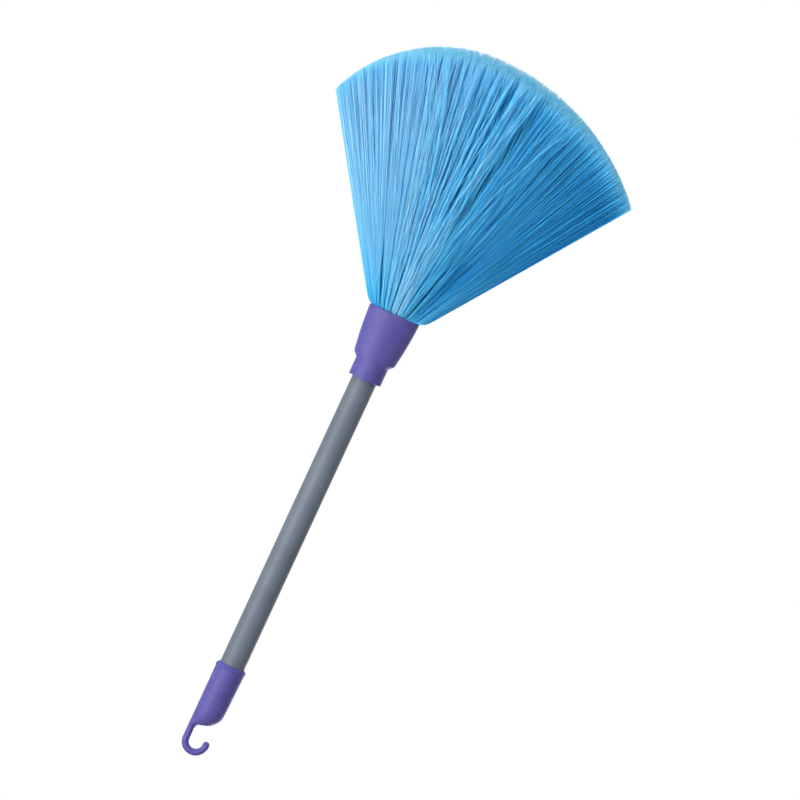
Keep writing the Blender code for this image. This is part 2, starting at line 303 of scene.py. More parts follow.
@dataclass(frozen=True)
class PowderCoatedSteel(Finish):
    """Drawn steel tube under a baked grey powder coat.

    The coat flows into a faint orange peel, so its satin highlight is wide and slightly broken.
    """

    name: str = "powder_coated_steel"
    colour: str = "#4D5560"
    pale: str = "#545D69"
    blend: tuple[float, float] = (0.35, 0.70)
    ior: float = 1.5
    specular: float = 0.4
    roughness: float = 0.58
    peel_mm: float = 1.3
    peel_depth_mm: float = 0.02
    peel_strength: float = 0.6
    shade_mm: float = 30.0

    def surface(self, tree: bpy.types.NodeTree) -> bpy.types.NodeSocket:
        """Build the surface's nodes.

        Args:
            tree: The material's nodes.

        Returns:
            The output of the last shader.
        """
        place = add_node(tree, "ShaderNodeTexCoord").outputs["Object"]
        shade = add_node(
            tree, "ShaderNodeTexNoise", {"Scale": 1 / (self.shade_mm * MM), "Detail": 4.0},
            {"Vector": place},
        )
        colour = add_node(tree, "ShaderNodeValToRGB", links={"Fac": shade.outputs["Fac"]})
        set_ramp(colour, zip(self.blend, (self.colour, self.pale)))
        peel = add_node(
            tree, "ShaderNodeTexNoise", {"Scale": 1 / (self.peel_mm * MM), "Detail": 1.0},
            {"Vector": place},
        )
        bump = add_node(
            tree, "ShaderNodeBump",
            {"Strength": self.peel_strength, "Distance": self.peel_depth_mm * MM},
            {"Height": peel.outputs["Fac"]},
        )
        shader = add_node(
            tree, "ShaderNodeBsdfPrincipled",
            {"IOR": self.ior, "Specular IOR Level": self.specular, "Roughness": self.roughness},
            {"Base Color": colour.outputs["Color"], "Normal": bump.outputs["Normal"]},
        )
        return shader.outputs["BSDF"]


@dataclass(frozen=True)
class DrawnPolyester(Finish):
    """Polyester monofilament, spun-dyed blue and drawn.

    A single fibre lets light through, so the mass glows where it is thin, at its tips and sides,
    and deepens in colour where it is thick. The tone that picks the colour varies a little from
    fibre to fibre, as dye lots do, and also carries painted light: a paler strap side, paler
    tips, a painted highlight at the mouth, painted glints and painted shade in the valleys.
    """

    name: str = "drawn_polyester"
    deep: str = "#14B2EC"
    middle: str = "#66E2FF"
    pale: str = "#BBECFF"
    ior: float = 1.57
    roughness: float = 0.38
    specular: float = 0.4
    clear: float = 0.45

    def surface(self, tree: bpy.types.NodeTree) -> bpy.types.NodeSocket:
        """Build the surface's nodes.

        Args:
            tree: The material's nodes.

        Returns:
            The output of the last shader.
        """
        tone = add_node(tree, "ShaderNodeAttribute", {"attribute_name": TONE})
        colour = add_node(tree, "ShaderNodeValToRGB", links={"Fac": tone.outputs["Fac"]})
        set_ramp(colour, ((0.0, self.deep), (0.5, self.middle), (1.0, self.pale)))
        solid = add_node(
            tree, "ShaderNodeBsdfPrincipled",
            {"IOR": self.ior, "Roughness": self.roughness, "Specular IOR Level": self.specular},
            {"Base Color": colour.outputs["Color"]},
        )
        through = add_node(
            tree, "ShaderNodeBsdfTranslucent", links={"Color": colour.outputs["Color"]},
        )
        both = add_node(
            tree, "ShaderNodeMixShader", {"Fac": self.clear},
            {1: solid.outputs["BSDF"], 2: through.outputs["BSDF"]},
        )
        return both.outputs["Shader"]


@dataclass(frozen=True)
class HotMeltGlue(Finish):
    """Hot-melt glue that has set in the cup: waxy, amber, with a skin that shrank unevenly."""

    name: str = "hot_melt_glue"
    colour: str = "#C9A96B"
    pale: str = "#DCC48E"
    blend: tuple[float, float] = (0.30, 0.70)
    ior: float = 1.49
    roughness: float = 0.35
    haze: float = 0.4
    haze_mm: float = 0.6
    ripple_mm: float = 4.0
    ripple_depth_mm: float = 0.2
    ripple_strength: float = 0.5

    def surface(self, tree: bpy.types.NodeTree) -> bpy.types.NodeSocket:
        """Build the surface's nodes.

        Args:
            tree: The material's nodes.

        Returns:
            The output of the last shader.
        """
        place = add_node(tree, "ShaderNodeTexCoord").outputs["Object"]
        ripple = add_node(
            tree, "ShaderNodeTexNoise", {"Scale": 1 / (self.ripple_mm * MM), "Detail": 2.0},
            {"Vector": place},
        )
        colour = add_node(tree, "ShaderNodeValToRGB", links={"Fac": ripple.outputs["Fac"]})
        set_ramp(colour, zip(self.blend, (self.colour, self.pale)))
        bump = add_node(
            tree, "ShaderNodeBump",
            {"Strength": self.ripple_strength, "Distance": self.ripple_depth_mm * MM},
            {"Height": ripple.outputs["Fac"]},
        )
        shader = add_node(
            tree, "ShaderNodeBsdfPrincipled",
            {"IOR": self.ior, "Roughness": self.roughness, "Subsurface Weight": self.haze,
             "Subsurface Scale": self.haze_mm * MM},
            {"Base Color": colour.outputs["Color"], "Normal": bump.outputs["Normal"]},
        )
        return shader.outputs["BSDF"]


@dataclass(frozen=True)
class ZincPlatedStrip(Finish):
    """Rolled steel strip with bright zinc plate, whose rolling lines run round the band."""

    name: str = "zinc_plated_strip"
    dull: str = "#A9AEB2"
    colour: str = "#BFC3C6"
    blend: tuple[float, float] = (0.30, 0.65)
    roughness: float = 0.34
    line_mm: float = 0.25
    stretch: float = 40.0

    def surface(self, tree: bpy.types.NodeTree) -> bpy.types.NodeSocket:
        """Build the surface's nodes.

        Args:
            tree: The material's nodes.

        Returns:
            The output of the last shader.
        """
        place = add_node(tree, "ShaderNodeTexCoord").outputs["Object"]
        # The lines are drawn out along the strip, which runs level round the roots. Real ones are
        # finer than 0.1 mm, and are drawn coarser, so that a close view shows them
        drawn = add_node(
            tree, "ShaderNodeMapping", {"Scale": (1 / self.stretch, 1 / self.stretch, 1.0)},
            {"Vector": place},
        )
        lines = add_node(
            tree, "ShaderNodeTexNoise", {"Scale": 1 / (self.line_mm * MM), "Detail": 2.0},
            {"Vector": drawn.outputs["Vector"]},
        )
        colour = add_node(tree, "ShaderNodeValToRGB", links={"Fac": lines.outputs["Fac"]})
        set_ramp(colour, zip(self.blend, (self.dull, self.colour)))
        shader = add_node(
            tree, "ShaderNodeBsdfPrincipled", {"Metallic": 1.0, "Roughness": self.roughness},
            {"Base Color": colour.outputs["Color"]},
        )
        return shader.outputs["BSDF"]


@dataclass(frozen=True)
class MattPaper(Finish):
    """Matt white paper, which keeps the shadow under the duster and fades into the white.

    To the camera it glows by the share lift near the middle, and from shadow_reach to fade_reach
    away from there it rises to full white, so no edge of the floor shows.
    """

    name: str = "matt_white_paper"
    colour: str = "#F6F6F6"
    lift: float = 0.5
    shadow_reach: float = 0.35
    fade_reach: float = 0.8

    def surface(self, tree: bpy.types.NodeTree) -> bpy.types.NodeSocket:
        """Build the surface's nodes.

        Args:
            tree: The material's nodes.

        Returns:
            The output of the last shader.
        """
        place = add_node(tree, "ShaderNodeTexCoord").outputs["Object"]
        level_place = add_node(
            tree, "ShaderNodeVectorMath", {"operation": "MULTIPLY", 1: (1, 1, 0)}, {0: place},
        )
        reach = add_node(
            tree, "ShaderNodeVectorMath", {"operation": "LENGTH"},
            {0: level_place.outputs["Vector"]},
        )
        white = add_node(
            tree, "ShaderNodeMapRange",
            {"interpolation_type": "SMOOTHSTEP", "From Min": self.shadow_reach,
             "From Max": self.fade_reach, "To Min": self.lift, "To Max": 1.0},
            {"Value": reach.outputs["Value"]},
        )
        share = add_node(
            tree, "ShaderNodeMath", {"operation": "MULTIPLY"},
            {0: white.outputs["Result"], 1: seen_directly(tree)},
        )
        matt = add_node(tree, "ShaderNodeBsdfDiffuse", {"Color": linear(self.colour)})
        glow = add_node(tree, "ShaderNodeEmission", {"Color": (1, 1, 1, 1), "Strength": 1.0})
        both = add_node(
            tree, "ShaderNodeMixShader", links={
                "Fac": share.outputs["Value"], 1: matt.outputs["BSDF"],
                2: glow.outputs["Emission"],
            },
        )
        return both.outputs["Shader"]


@dataclass(frozen=True)
class Section:
    """An oval cross-section of a moulding: its height, half sizes, middle along X and tilt."""

    height: float
    half_width: float
    half_depth: float
    middle_x: float = 0.0
    tilt: float = 0.0

    def values(self) -> tuple[float, ...]:
        """Give the section as a row of numbers."""
        return (self.height, self.half_width, self.half_depth, self.middle_x, self.tilt)


def level(height: float, radius: float) -> Section:
    """Give a round level section on the handle's axis."""
    return Section(height, radius, radius)


def rounded(sections: Sequence[Section], radius: float, steps: int = 4) -> list[Section]:
    """Round each corner in a run of sections.

    Args:
        sections: The run, as straight stretches.
        radius: How far from a corner its rounding starts, where the stretch is long enough.
        steps: How many sections take the place of a corner.

    Returns:
        The run with its corners rounded.
    """
    # A rounding takes half of a stretch at most
    most, tiny = 0.5, 1e-9
    rows = [np.array(section.values()) for section in sections]
    made = [rows[0]]
    for before, corner, after in zip(rows, rows[1:], rows[2:]):
        back, ahead = before - corner, after - corner
        reach_back = min(radius / max(np.linalg.norm(back), tiny), most)
        reach_ahead = min(radius / max(np.linalg.norm(ahead), tiny), most)
        start, end = corner + back * reach_back, corner + ahead * reach_ahead
        for step in range(steps + 1):
            share = step / steps
            made.append(
                start * (1 - share) ** 2 + corner * 2 * share * (1 - share) + end * share ** 2
            )
    made.append(rows[-1])
    return [Section(*row) for row in made]


def smoothed(sections: Sequence[Section], rounds: int = 3, cut: float = 0.25) -> list[Section]:
    """Cut the corners of a run of sections again and again, so that it follows a smooth curve.

    Args:
        sections: The run, whose first and last sections stay.
        rounds: How often the corners are cut.
        cut: The share of a stretch that a cut takes off at each end.

    Returns:
        The smooth run.
    """
    rows = np.array([section.values() for section in sections])
    for _ in range(rounds):
        near = rows[:-1] * (1 - cut) + rows[1:] * cut
        far = rows[:-1] * cut + rows[1:] * (1 - cut)
        between = np.stack((near, far), axis=1).reshape(-1, rows.shape[1])
        rows = np.concatenate((rows[:1], between, rows[-1:]))
    return [Section(*row) for row in rows]


def skin(
    name: str, sections: Sequence[Section], sides: int, closed: bool = False,
) -> bpy.types.Object:
    """Skin a run of sections into one closed mesh, smooth except at its sharp corners.

    Args:
        name: The piece's name.
        sections: The run. An open one gets a flat end at each end.
        sides: How many sides go round it.
        closed: Whether the last section joins the first.

    Returns:
        The piece, linked to the scene.
    """
    rows = np.array([section.values() for section in sections])
    height, half_width, half_depth, middle_x, tilt = (column[:, None] for column in rows.T)
    angle = np.linspace(0, math.tau, sides, endpoint=False)[None, :]
    along = half_width * np.cos(angle)
    points = np.stack((
        middle_x + along * np.cos(tilt),
        half_depth * np.sin(angle),
        height + along * np.sin(tilt),
    ), axis=-1).reshape(-1, 3)
    rings = len(sections)
    faces = []
    for ring in range(rings if closed else rings - 1):
        first, second = ring * sides, (ring + 1) % rings * sides
        for side in range(sides):
            following = (side + 1) % sides
            faces.append((first + side, first + following, second + following, second + side))
    if not closed:
        faces.append(tuple(range(sides)))
        faces.append(tuple(range((rings - 1) * sides, rings * sides)))
    mesh = bpy.data.meshes.new(name)
    mesh.from_pydata(points.tolist(), [], faces)
    face_outwards(mesh)
    mesh.shade_smooth()
    mesh.set_sharp_from_angle(angle=math.radians(CREASE_DEGREES))
    return add_object(name, mesh)


def face_outwards(mesh: bpy.types.Mesh) -> None:
    """Turn the faces of a closed mesh outwards.

    Args:
        mesh: The mesh, which is changed.
    """
    data = bmesh.new()
    data.from_mesh(mesh)
    bmesh.ops.recalc_face_normals(data, faces=data.faces)
    data.to_mesh(mesh)
    data.free()


def settle(
    piece: bpy.types.Object, nodes: Iterable[str], finish: bpy.types.Material,
) -> None:
    """Dress a piece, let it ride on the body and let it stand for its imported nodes.

    Args:
        piece: The piece.
        nodes: The names of the nodes that it replaces.
        finish: Its material.
    """
    piece.data.materials.append(finish)
    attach(piece, BODY)
    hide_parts(*nodes)
    LOG.info("%s: %d faces", piece.name, len(piece.data.polygons))


@dataclass
class Handle:
    """The tube of the handle, at the size and place of its node."""

    sides: int = 96
    wall: float = 0.0008
    edge: float = 0.00025
    node: str = "handle_tube"

    def build(self, finish: bpy.types.Material) -> None:
        """Build the tube: its outside, its two ends and its bore.

        Args:
            finish: Its material.
        """
        low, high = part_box(self.node)
        radius = high.x
        bore = radius - self.wall
        halfway = level((low.z + high.z) / 2, radius)
        corners = [
            halfway,
            level(low.z, radius),
            level(low.z, bore),
            level(high.z, bore),
            level(high.z, radius),
            halfway,
        ]
        run = rounded(corners, self.edge)[:-1]
        settle(skin("tube", run, self.sides, closed=True), [self.node], finish)


@dataclass
class HookCap:
    """The push-on cap, one moulding with the hook that the duster hangs on.

    Each row of end_shares is a share of the end's height, with the share of the way from the
    sleeve to the strap that the open side and the depth have drawn in there.
    """

    sides: int = 72
    bore: float = 0.0113
    radius: float = 0.0131
    draft: float = 0.0008
    lip_flare: float = 0.0008
    lip_length: float = 0.0050
    lip_bend_at: float = 0.35
    lip_bend_flare: float = 0.3
    nose_length: float = 0.0025
    socket_depth: float = 0.0340
    head_space: float = 0.0042
    stop_width: float = 0.0020
    end_height: float = 0.0239
    strap_foot: float = -0.0156
    bar: float = 0.0061
    bar_width: float = 0.0082
    seat_radius: float = 0.0061
    tip_length: float = 0.0038
    edge: float = 0.0006
    turn_steps: int = 40
    tip_steps: int = 10
    end_shares: tuple[tuple[float, float, float], ...] = (
        (0.00, 0.00, 0.00),
        (0.21, 0.02, 0.02),
        (0.33, 0.04, 0.05),
        (0.43, 0.085, 0.10),
        (0.54, 0.175, 0.19),
        (0.64, 0.285, 0.32),
        (0.72, 0.42, 0.45),
        (0.76, 0.57, 0.54),
        (0.785, 0.70, 0.61),
        (0.815, 0.82, 0.68),
        (0.86, 0.905, 0.80),
        (0.91, 0.955, 0.92),
        (0.95, 0.985, 0.975),
        (1.00, 1.00, 1.00),
    )
    node: str = "hook_cap"

    def socket(self, nose: float) -> list[Section]:
        """Give the inside, from the space above the tube down to the nose.

        Args:
            nose: The height of the cap's lower end.

        Returns:
            The sections.
        """
        stop = nose + self.socket_depth
        narrow = self.bore - self.stop_width
        return [
            level(stop + self.head_space, narrow),
            level(stop, narrow),
            level(stop, self.bore),
            level(nose, self.bore),
        ]

    def sleeve(self, nose: float) -> list[Section]:
        """Give the outside, from the conical nose over the flared lip up the sleeve.

        Args:
            nose: The height of the cap's lower end.

        Returns:
            The sections.
        """
        lip = nose + self.nose_length
        return [
            level(nose, self.bore + self.edge),
            level(lip, self.radius + self.lip_flare),
            level(
                lip + self.lip_length * self.lip_bend_at,
                self.radius + self.lip_flare * self.lip_bend_flare,
            ),
            level(lip + self.lip_length, self.radius),
        ]

    def end(self) -> list[Section]:
        """Give the end, which draws in to the strap on the open side and stays flush beside it.

        Returns:
            The sections.
        """
        foot = self.strap_foot - self.end_height
        sections = []
        for height_share, side_share, depth_share in self.end_shares:
            open_side = self.draft - self.radius
            open_side += (self.radius - self.bar - open_side) * side_share
            half_depth = self.radius - self.draft / 2
            half_depth += (self.bar_width / 2 - half_depth) * depth_share
            half_width = (self.radius - open_side) / 2
            height = foot + self.end_height * height_share
            sections.append(Section(height, half_width, half_depth, self.radius - half_width))
        return sections

    def hook(self) -> list[Section]:
        """Give the hook, over its bowl and down to its round tip.

        Returns:
            The sections.
        """
        half_bar = self.bar / 2
        turn_radius = self.seat_radius + half_bar
        middle = self.radius - half_bar - turn_radius
        sections = []
        for step in range(self.turn_steps + 1):
            turn = math.pi * step / self.turn_steps
            sections.append(Section(
                turn_radius * math.sin(turn) - self.seat_radius, half_bar, self.bar_width / 2,
                middle + turn_radius * math.cos(turn), turn,
            ))
        round_height = half_bar - self.seat_radius - self.tip_length
        for step in range(self.tip_steps):
            turn = math.pi / 2 * step / self.tip_steps
            sections.append(Section(
                round_height - half_bar * math.sin(turn), half_bar * math.cos(turn),
                self.bar_width / 2 * math.cos(turn), middle - turn_radius, math.pi,
            ))
        return sections

    def build(self, finish: bpy.types.Material) -> None:
        """Build the moulding in one skin, from its socket to the tip of the hook.

        Args:
            finish: Its material.
        """
        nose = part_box(self.node)[0].z
        outside = smoothed(self.sleeve(nose)[1:] + self.end())
        inside = rounded(self.socket(nose) + self.sleeve(nose)[:1] + outside[:1], self.edge / 2)
        run = inside[:-1] + outside + self.hook()
        settle(skin("cap", run, self.sides), [self.node], finish)


@dataclass
class Ferrule:
    """The ferrule, one moulding: a collar on the tube, a shoulder and a cone with an oval mouth."""

    sides: int = 96
    bore: float = 0.0113
    collar_radius: float = 0.0147
    collar_length: float = 0.0153
    shoulder_length: float = 0.0043
    shoulder_step: float = 0.0040
    belly: float = 0.0007
    wall: float = 0.0018
    web: float = 0.0020
    socket_depth: float = 0.0225
    edge: float = 0.0006
    shoulder_edge: float = 0.0012
    shoulder_steps: int = 6
    cone_steps: int = 24
    node: str = "ferrule"

    def __post_init__(self) -> None:
        """Read where the node's ends are."""
        low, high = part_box(self.node)
        self.rim = high.z
        self.mouth = low.z
        self.mouth_half_width = high.x
        self.mouth_half_depth = high.y
        self.cone_top = self.rim - self.collar_length - self.shoulder_length

    def cone(self, height: float, inset: float = 0.0) -> Section:
        """Give the cone's section at a height.

        Args:
            height: The height.
            inset: How far inside the outer face the section lies.

        Returns:
            The section.
        """
        share = (self.cone_top - height) / (self.cone_top - self.mouth)
        # The belly is a parabola, full halfway down the cone
        belly = 4 * self.belly * share * (1 - share)
        top_width = self.collar_radius + self.shoulder_step
        half_width = top_width + (self.mouth_half_width - top_width) * share + belly
        half_depth = self.collar_radius + (self.mouth_half_depth - self.collar_radius) * share
        return Section(height, half_width - inset, half_depth + belly - inset)

    def build(self, finish: bpy.types.Material) -> None:
        """Build the moulding in one skin, from the web in its collar to the web in its cup.

        Args:
            finish: Its material.
        """
        web_top = self.rim - self.socket_depth
        collar = rounded([
            level(web_top, self.bore),
            level(self.rim, self.bore),
            level(self.rim, self.collar_radius),
            level(self.rim - self.collar_length, self.collar_radius),
        ], self.edge)
        heights = np.linspace(self.cone_top, self.mouth, self.cone_steps)
        outside = [self.cone(height) for height in heights]
        inner_heights = np.linspace(self.mouth, web_top - self.web, self.cone_steps)
        inside = [self.cone(height, self.wall) for height in inner_heights]
        shoulder = rounded(
            [collar[-2], collar[-1], outside[0], outside[1]], self.shoulder_edge,
            self.shoulder_steps,
        )
        rim = rounded([outside[-2], outside[-1], inside[0], inside[1]], self.edge)
        run = collar[:-2] + shoulder + outside[2:-2] + rim + inside[2:]
        settle(skin("socket", run, self.sides), [self.node], finish)


@dataclass
class Binding:
    """What holds the roots in the cup: the glue pad and the crimped band, both kept as nodes."""

    pad: str = "glue_pad"
    band: str = "binding_band"

    def dress(self, glue: bpy.types.Material, zinc: bpy.types.Material) -> None:
        """Give both nodes their finish.

        Args:
            glue: The pad's material.
            zinc: The band's material.
        """
        for name, finish in ((self.pad, glue), (self.band, zinc)):
            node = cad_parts[name]
            for slot in node.material_slots:
                slot.material = finish
            LOG.info("%s: %s", name, finish.name)


@dataclass(frozen=True)
class Gathering:
    """How fibres gather into bundles of one size, and how the bundles run.

    Attributes:
        count: Bundles in the whole fan.
        pull: Pairs of a share of the fan's length and the share of the way to its bundle's
            middle that a fibre is drawn in there.
        drift: How far a bundle strays sideways by its tip, as a share of the fan's half width.
        lift: The same in depth, as a share of the half depth.
        sway_mm: The height of its sideways wave.
        weave_mm: The height of its wave in depth, which takes it under its neighbours and out.
        wave_mm: The length of both waves.
        tone: How much its colour varies.
        whole: Whether calm bundles and loose fibres join in as much as the others.
    """

    count: int
    pull: tuple[tuple[float, float], ...]
    drift: float
    lift: float
    sway_mm: float
    weave_mm: float
    wave_mm: float
    tone: float
    whole: bool = False


@dataclass(frozen=True)
class Parting:
    """A valley between two locks, or a ridge, on the front or the back.

    Attributes:
        mouth: Where it starts, as a share of the half width.
        tip: Where its line would meet the trimmed end.
        width: How wide it is, as a share of the half width.
        depth: How far it presses fibres in, or lifts them out where it is negative, as a share of
            the half depth. A valley pushes fibres aside too.
        start: Where along the fan it opens.
        end: Where it closes.
        side: Whether it is on the front or the back.
        tone: How much paler its fibres are painted: painted shade in a valley, where it is
        negative, and painted light on a ridge, where it is positive.
    """

    mouth: float
    tip: float
    width: float
    depth: float
    start: float
    end: float
    side: Side
    tone: float = 0.0


def eased(values: np.ndarray, low: float, high: float) -> np.ndarray:
    """Turn values into shares, from 0 at low to 1 at high, along a smooth step."""
    share = np.clip((values - low) / (high - low), 0, 1)
    return share * share * (3 - 2 * share)


def squared(first: np.ndarray, second: np.ndarray) -> np.ndarray:
    """Stretch the unit disc to a square.

    Args:
        first: One co-ordinate of points in the disc.
        second: The other.

    Returns:
        The first co-ordinate in the square from -1 to 1.
    """
    base = 2 + first * first - second * second
    shift = 2 * math.sqrt(2) * first
    return (np.sqrt(np.maximum(base + shift, 0)) - np.sqrt(np.maximum(base - shift, 0))) / 2


@dataclass
class Fan:
    """The trimmed fan of fibres, in tufts, that leaves the ferrule's mouth.

    A place in the fan is a point in the unit disc, which the mouth and each level beyond it
    stretch to their own size. The side edges are straight, and the trimmed end is an arc for each
    side and one for the depth. A station is a share of a fibre's length past the mouth. A tone is
    a place on the finish's ramp, from 0 for its deepest colour to 1 for its palest.
    """

    # The fibres, where they leave the mouth, and the stations that they bend at
    seed: int = 41
    fibres: int = 12500
    crowding: float = 0.38
    fibre_jitter: float = 0.45
    stations: tuple[float, ...] = (
        0.0, 0.005, 0.013, 0.027, 0.048, 0.075, 0.105, 0.14, 0.175, 0.215, 0.255, 0.295, 0.335,
        0.375, 0.42, 0.465, 0.51, 0.555, 0.60, 0.645, 0.69, 0.735, 0.78, 0.83, 0.88, 0.93, 0.97,
        1.0,
    )
    # The bundles that they gather into
    bundle_jitter: float = 0.4
    drift_power: float = 1.3
    locks: Gathering = Gathering(
        110, ((0.0, 0.36), (0.03, 0.34), (0.08, 0.22), (0.14, 0.1), (0.25, 0.0), (1.0, 0.0)),
        0.0, 0.0, 0.0, 0.0, 200.0, 0.03, True,
    )
    wisps: Gathering = Gathering(
        330, ((0.0, 0.15), (0.1, 0.22), (0.35, 0.18), (0.7, 0.18), (1.0, 0.1)),
        0.08, 0.03, 0.7, 2.0, 62.0, 0.05,
    )
    pinches: Gathering = Gathering(
        3400, ((0.0, 0.2), (0.1, 0.5), (0.4, 0.66), (0.85, 0.6), (1.0, 0.4)),
        0.12, 0.05, 0.3, 2.0, 36.0, 0.09,
    )
    # The partings: how soon they open and close, how far in they reach, and how they push
    opening: float = 0.05
    closing: float = 0.25
    parting_reach: tuple[float, float] = (0.1, 0.5)
    push: float = 0.35
    push_edge: float = 3.0
    # The last number of each parting is its painted shade, or painted light where positive
    partings: tuple[Parting, ...] = (
        Parting(-0.58, -0.54, 0.09, 0.08, 0.0, 0.48, Side.FRONT, -0.28),
        Parting(-0.38, -0.42, 0.020, 0.08, 0.0, 0.34, Side.FRONT, -0.3),
        Parting(-0.22, -0.16, 0.015, 0.05, 0.0, 0.34, Side.FRONT, -0.2),
        Parting(0.42, 0.40, 0.020, 0.07, 0.0, 0.24, Side.FRONT, -0.25),
        Parting(0.68, 0.66, 0.020, 0.07, 0.0, 0.18, Side.FRONT, -0.25),
        Parting(0.05, 0.08, 0.03, 0.025, 0.35, 1.05, Side.FRONT, -0.15),
        Parting(-0.14, -0.22, 0.03, 0.04, 0.4, 1.2, Side.FRONT, -0.1),
        Parting(0.69, 0.71, 0.014, 0.012, 0.55, 1.15, Side.FRONT, -0.2),
        Parting(-0.02, 0.03, 0.14, -0.05, 0.0, 0.5, Side.FRONT, 0.1),
        Parting(-0.78, -0.80, 0.10, -0.03, 0.0, 0.45, Side.FRONT, 0.1),
        Parting(-0.72, -0.76, 0.03, 0.04, 0.0, 0.30, Side.FRONT, -0.2),
        Parting(0.17, 0.14, 0.018, 0.05, 0.0, 0.36, Side.FRONT, -0.2),
        Parting(0.30, 0.27, 0.015, 0.05, 0.0, 0.28, Side.FRONT, -0.2),
        Parting(0.56, 0.62, 0.03, 0.10, 0.0, 0.34, Side.FRONT, -0.25),
        Parting(-0.03, -0.06, 0.014, 0.024, 0.42, 1.20, Side.FRONT, -0.18),
        Parting(0.14, 0.18, 0.012, 0.022, 0.50, 1.10, Side.FRONT, -0.15),
        Parting(0.02, 0.01, 0.012, 0.022, 0.30, 0.95, Side.FRONT, -0.18),
        Parting(0.10, 0.11, 0.010, 0.020, 0.25, 0.85, Side.FRONT, -0.15),
        Parting(0.30, 0.48, 0.05, 0.25, 0.0, 0.6, Side.BACK),
        Parting(-0.10, -0.12, 0.04, 0.25, 0.0, 0.9, Side.BACK),
    )
    # The tufts
    columns: int = 7
    row_turn: float = 8.0
    # The outline: a lip is the half width or half depth that a straight edge starts from at the
    # mouth, and a slope is what it gains with the distance. An arc is a radius of the trimmed end
    root_inset: float = 0.0014
    lip_gap: float = 0.0004
    strap_side_slope: float = 0.6655
    open_side_slope: float = 0.7232
    depth_slope: float = 0.2035
    strap_side_lip: float = 0.0246
    open_side_lip: float = 0.0267
    depth_lip: float = 0.0158
    lip_curve: float = 0.0013
    front_slope: float = 0.35
    front_edge: float = 0.9
    tip_reach: float = 0.2349
    tip_offset: float = 0.0063
    strap_side_arc: float = 0.1288
    open_side_arc: float = 0.2004
    depth_arc: float = 0.1900
    trim_spread: float = 0.0003
    trim_halvings: int = 30
    middle_room: float = 0.05
    # How they wave, and how still those at the side edges hold, in waves and in bundles
    fuzz_mm: float = 0.35
    fuzz_wave_mm: float = 32.0
    wave_start: float = 0.04
    wave_lengths: tuple[float, float] = (0.65, 1.35)
    wave_heights: tuple[float, float] = (0.4, 1.0)
    edge_start: float = 0.8
    edge_calm: float = 0.95
    rim_start: float = 0.88
    rim_hold: float = 0.9
    # How far the bundles stir. Half of the fibres are loose: they hardly join in, and fill the
    # gaps. A few of the others are wild, and wave further
    calm: float = 0.08
    restless: float = 0.04
    restless_stir: float = 0.65
    unrest_middle: float = -0.08
    unrest_width: float = 0.35
    loose: float = 0.5
    loose_hold: float = 0.15
    loose_wave: float = 0.3
    loose_inset: float = 0.02
    wild: float = 0.012
    wild_scale: float = 3.0
    # Thickness at a few stations. A real fibre is about 0.1 mm thick and there are far more of
    # them, so these are drawn coarser, to fill the same fan
    widths_mm: tuple[tuple[float, float], ...] = (
        (0.0, 0.22), (0.1, 0.30), (0.35, 0.38), (0.8, 0.44), (0.96, 0.44), (1.0, 0.22),
    )
    # Tones: a base and a random spread by dye lot, and painted light: the strap side painted paler
    # as the key lamp lights it, the tips painted paler, a painted highlight in the middle of the
    # mouth and painted glints along each fibre
    base_tone: float = 0.5
    dye_spread: float = 0.03
    painted_glint: float = 0.13
    calm_painted_glint: float = 0.4
    wild_tone: float = 0.25
    painted_side_light: float = 0.40
    side_light_middle: float = -0.1
    side_light_width: float = 0.35
    painted_mouth_light: float = 0.35
    mouth_width: float = 0.4
    mouth_level: float = 0.3
    mouth_reach: float = 0.040
    painted_tip_light: float = 0.75
    tip_start: float = 0.90

    def __post_init__(self) -> None:
        """Read the mouth and the roots from the frame, and start the random draws."""
        self.random = np.random.default_rng(self.seed)
        ferrule = Ferrule()
        lip = ferrule.cone(ferrule.mouth, ferrule.wall + self.lip_gap)
        self.mouth = ferrule.mouth
        self.lip_half_width = lip.half_width
        self.lip_half_depth = lip.half_depth
        band_low, band_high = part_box("binding_band")
        self.root_half_width = band_high.x - self.root_inset
        self.root_half_depth = band_high.y - self.root_inset
        self.root_height = band_low.z

    def sunflower(self, count: int, jitter: float, crowding: float = 0.5) -> np.ndarray:
        """Scatter points over the unit disc.

        Args:
            count: How many.
            jitter: How far each strays, as a share of the spacing.
            crowding: 0.5 spreads them evenly, and less crowds them towards the rim.

        Returns:
            The points, one a row.
        """
        index = np.arange(count)
        radius = ((index + 0.5) / count) ** crowding
        angle = index * GOLDEN_ANGLE
        points = np.stack((radius * np.cos(angle), radius * np.sin(angle)), axis=1)
        points += self.random.normal(0, jitter / math.sqrt(count), points.shape)
        size = np.linalg.norm(points, axis=1, keepdims=True)
        return points / np.maximum(size, 1)

    def spread(self, place: np.ndarray, distance: np.ndarray) -> np.ndarray:
        """Give the X and Y of places in the disc, at distances past the mouth.

        Args:
            place: Places, with X and Y last.
            distance: A distance for each.

        Returns:
            X and Y for each, last.
        """
        strap_side = place[..., 0] > 0
        slope = np.where(strap_side, self.strap_side_slope, self.open_side_slope)
        lip = np.where(strap_side, self.strap_side_lip, self.open_side_lip)
        bulge = 1 - np.exp(-distance / self.lip_curve)
        half_width = self.lip_half_width + (lip - self.lip_half_width) * bulge + slope * distance
        half_depth = self.lip_half_depth + (self.depth_lip - self.lip_half_depth) * bulge
        # The front falls back towards the open side
        beside = eased(-place[..., 0], 0.0, self.front_edge)
        fall = self.front_slope * beside * (place[..., 1] < 0)
        half_depth = half_depth + self.depth_slope * distance * (1 - fall)
        return np.stack((place[..., 0] * half_width, place[..., 1] * half_depth), axis=-1)

